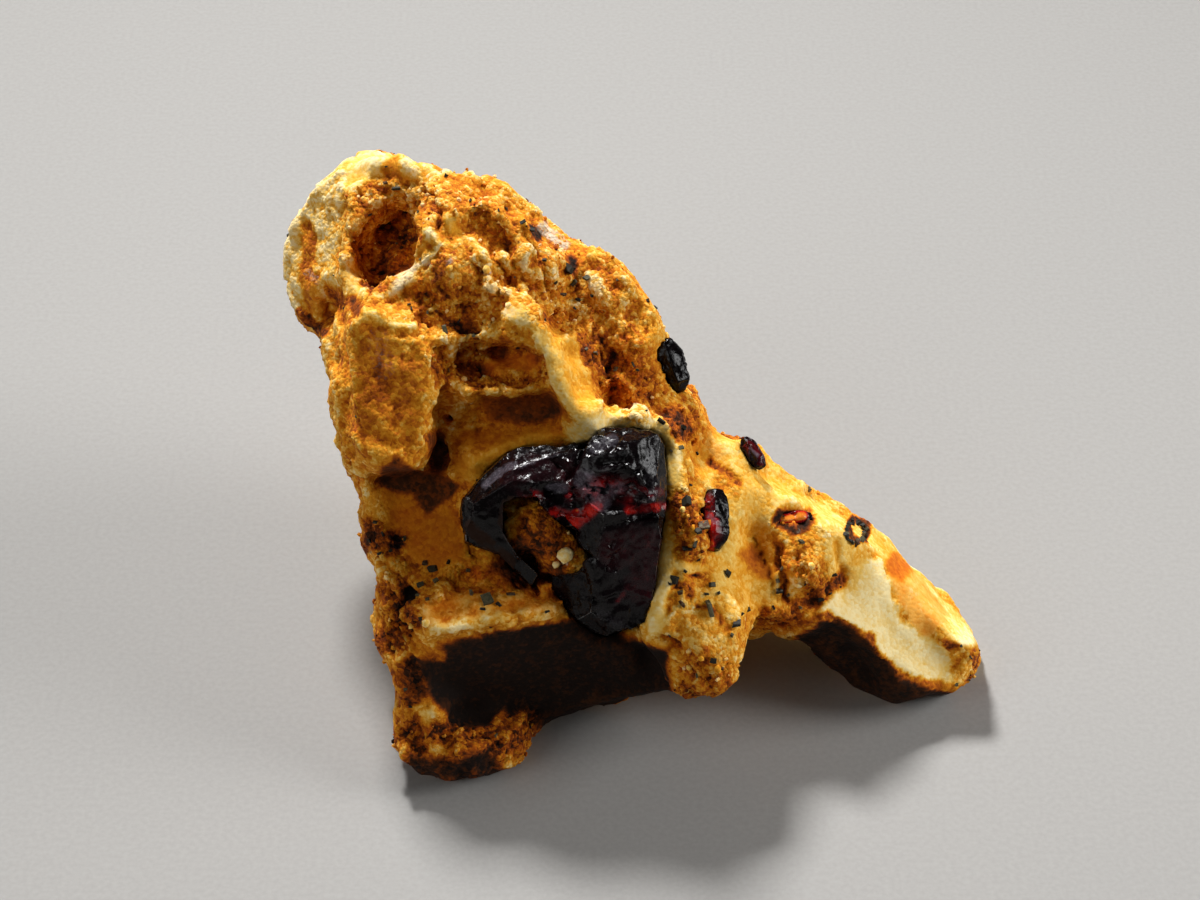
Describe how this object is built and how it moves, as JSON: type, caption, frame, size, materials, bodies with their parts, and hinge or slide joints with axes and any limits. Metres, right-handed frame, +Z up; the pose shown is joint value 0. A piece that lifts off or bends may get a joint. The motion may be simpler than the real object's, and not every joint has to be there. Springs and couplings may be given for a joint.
{
  "type": "clinohumite on matrix",
  "caption": "Dark red clinohumite crystals set in a lump of ochre, iron-stained host rock that stands with an arched underside on flat-cut feet.",
  "frame": {"origin": "centre of the bounding box's footprint, on the plane the rock rests on", "axes": "+X along the stone's length towards the tip of its arm, +Z up, the display face looks towards -Y and up"},
  "size_m": [0.0502, 0.0378, 0.0337],
  "materials": {
    "matrix": "rough",
    "clinohumite": "glossy"
  },
  "bodies": {
    "root": {"matrix": "matrix", "clinohumite_crystal": "clinohumite", "clinohumite_edge": "clinohumite", "clinohumite_red": "clinohumite", "clinohumite_sprig": "clinohumite", "clinohumite_lens": "clinohumite"}
  },
  "joints": []
}
